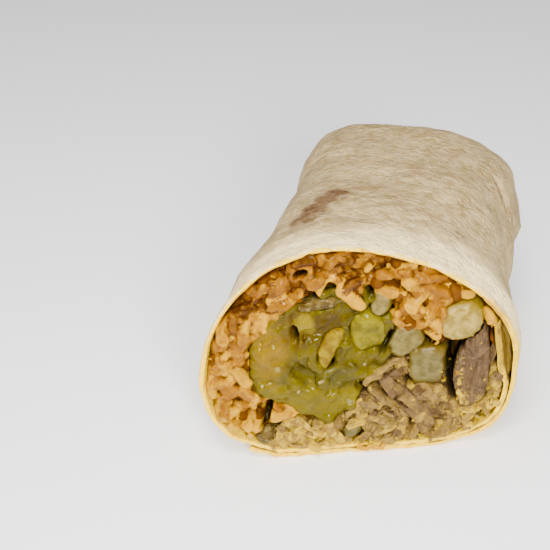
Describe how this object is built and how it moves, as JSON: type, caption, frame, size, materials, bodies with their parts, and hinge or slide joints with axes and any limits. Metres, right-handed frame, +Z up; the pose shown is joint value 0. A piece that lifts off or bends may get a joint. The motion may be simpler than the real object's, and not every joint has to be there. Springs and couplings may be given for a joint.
{
  "type": "cut burrito half",
  "caption": "Half a burrito cut on the slant: a rolled flour tortilla with rice, green salsa, potato and pork showing at the cut, folded shut at the far end.",
  "frame": {"origin": "on the floor under the middle of the bounding box", "axes": "+Z up; +Y along the roll from the cut towards the folded end; +X to the right as seen from the cut"},
  "size_m": [0.0712, 0.107, 0.0574],
  "materials": {
    "tortilla": "matt, floury flour tortilla, cream with faint pink-brown toasting",
    "rice": "moist orange rice",
    "green_salsa": "wet, glossy olive-green salsa",
    "pulled_pork": "moist shredded meat, tan to grey-brown",
    "pork_chunk": "fibrous grey-brown meat",
    "potato": "moist pale yellow fried potato",
    "green_pepper": "wet bright yellow-green pepper flesh",
    "yellow_pepper": "wet yellow pepper flesh",
    "onion": "soft translucent cooked onion"
  },
  "bodies": {
    "root": {"tortilla": "tortilla", "rice": "rice", "green_salsa": "green_salsa", "pulled_pork": "pulled_pork", "pork_chunk": "pork_chunk", "potato_1": "potato", "potato_2": "potato", "potato_3": "potato", "potato_4": "potato", "potato_5": "potato", "green_pepper": "green_pepper", "yellow_pepper": "yellow_pepper", "onion_strip": "onion", "onion_bit": "onion"}
  },
  "joints": []
}
